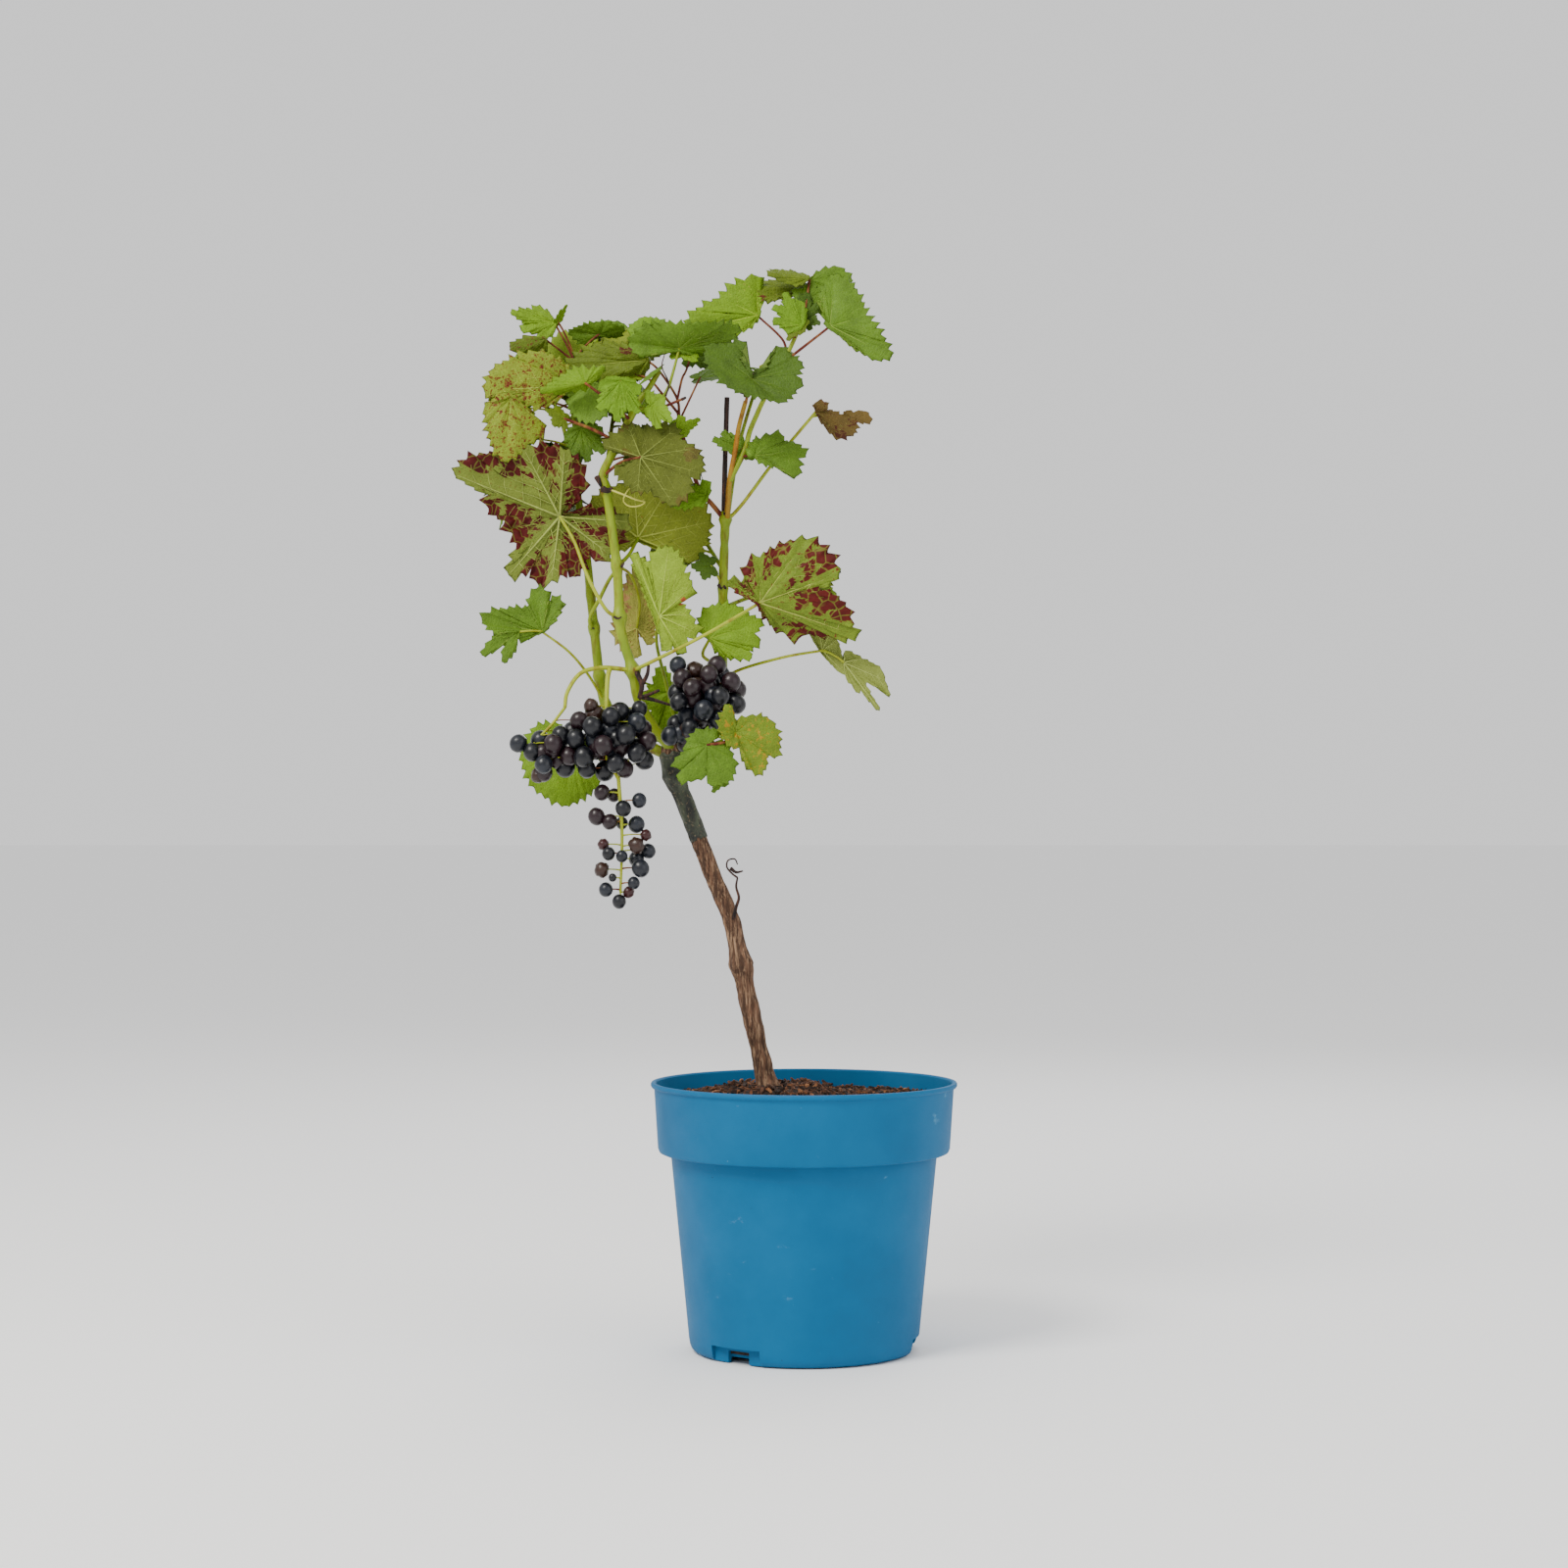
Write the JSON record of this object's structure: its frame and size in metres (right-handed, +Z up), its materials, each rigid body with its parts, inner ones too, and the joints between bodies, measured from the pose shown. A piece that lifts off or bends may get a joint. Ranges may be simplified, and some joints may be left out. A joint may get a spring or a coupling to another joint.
{
  "type": "potted grapevine",
  "caption": "Young grapevine with a bent woody trunk, green canes, lobed leaves and bunches of dark grapes, growing in a plain round nursery pot.",
  "frame": {"origin": "centre of the pot's flat underside, on the pot's axis, at ground level", "axes": "+Z up along the pot's axis, -Y towards the viewer of the picture, +X to the viewer's right"},
  "size_m": [0.3771, 0.2332, 0.8166],
  "materials": {
    "pot": "moulded, satin, scuffed",
    "soil": "loose bark compost",
    "trunk": "fibrous brown bark",
    "graft_wax": "cracked grey-green wax",
    "cane": "smooth green bark",
    "dead_tip": "dry, dark brown",
    "leaves": "soft leaf, matt",
    "leaf_red": "leaf turning maroon between its veins",
    "leaf_dry": "dry brown leaf",
    "grapes": "blue-black skin with a pale bloom"
  },
  "bodies": {
    "root": {"cane_left": "cane", "cane_middle": "cane", "cane_right": "cane", "dead_tip": "dead_tip", "graft_wax": "graft_wax", "grapes_left": "grapes", "grapes_right": "grapes", "leaf_dry_right": "leaf_dry", "leaf_hanging_right": "leaves", "leaf_left_low": "leaves", "leaf_left_side": "leaves", "leaf_red_left": "leaf_red", "leaf_red_right": "leaf_red", "leaf_right_middle": "leaves", "leaf_small_dark": "leaves", "leaves_back_centre": "leaves", "leaves_back_left": "leaves", "leaves_back_low": "leaves", "leaves_back_middle": "leaves", "leaves_back_red": "leaves", "leaves_back_right": "leaves", "leaves_back_side": "leaves", "leaves_centre": "leaves", "leaves_centre_low": "leaves", "leaves_left_crown": "leaves", "leaves_middle_back": "leaves", "leaves_middle_crown": "leaves", "leaves_middle_front": "leaves", "leaves_right_crown": "leaves", "leaves_right_low": "leaves", "pot": "pot", "soil": "soil", "trunk": "trunk"}
  },
  "joints": []
}
